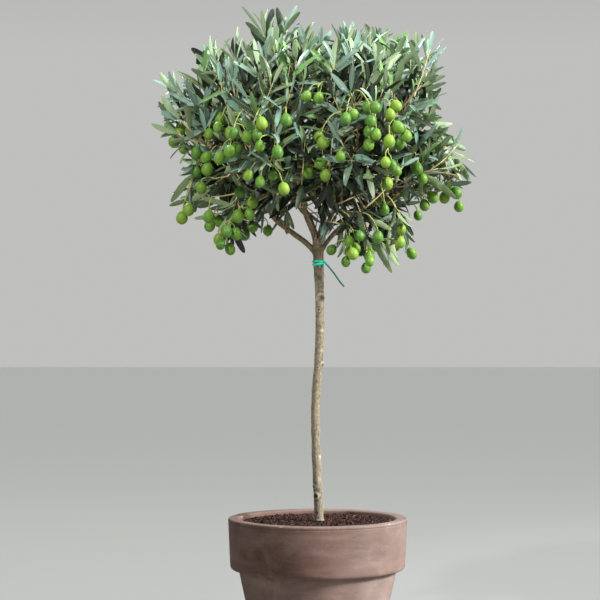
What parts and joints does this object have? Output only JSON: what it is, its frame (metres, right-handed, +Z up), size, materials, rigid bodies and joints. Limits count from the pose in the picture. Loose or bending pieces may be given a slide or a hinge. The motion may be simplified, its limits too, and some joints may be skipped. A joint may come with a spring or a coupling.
{
  "type": "potted olive tree",
  "caption": "Young standard olive tree with a bare stem and a loose round head of narrow grey-green leaves and green olives, in a banded clay pot.",
  "frame": {"origin": "centre of the pot's flat underside, which is also the middle of the whole plant seen from above", "axes": "+Z up along the stem, +X to the right seen from the front, -Y towards the front"},
  "size_m": [0.4735, 0.4422, 0.9922],
  "materials": {
    "clay": "weathered unglazed clay, dusty and blotched",
    "soil": "crumbly dark potting soil",
    "bark": "smooth grey-beige young bark with small knots",
    "foliage": "leathery grey-green leaves, silvery underneath",
    "fruit": "bright green unripe olives with a soft sheen",
    "tie": "soft green plastic"
  },
  "bodies": {
    "root": {"pot": "clay", "soil": "soil", "trunk": "bark", "tie_loop_1": "tie", "tie_loop_2": "tie", "tie_tail": "tie", "bough_left": "bark", "bough_front": "bark", "bough_middle": "bark", "bough_right": "bark", "bough_back_left": "bark", "bough_back_right": "bark", "foliage_crest_left": "foliage", "foliage_crest_right": "foliage", "foliage_shoulder_right": "foliage", "foliage_heart": "foliage", "foliage_outer_left": "foliage", "foliage_outer_right": "foliage", "foliage_hanging_left": "foliage", "foliage_hanging_right": "foliage", "foliage_hanging_back_left": "foliage", "foliage_hanging_back_right": "foliage", "foliage_tuft_left": "foliage", "foliage_upper_right": "foliage", "foliage_upper_back_right": "foliage", "foliage_upper_back_left": "foliage", "foliage_upper_left": "foliage", "foliage_upper_front_left": "foliage", "foliage_upper_front_right": "foliage", "foliage_middle_right": "foliage", "foliage_middle_back_right": "foliage", "foliage_middle_back_left": "foliage", "foliage_middle_left": "foliage", "foliage_middle_front_left": "foliage", "foliage_middle_front_right": "foliage"}
  },
  "joints": []
}
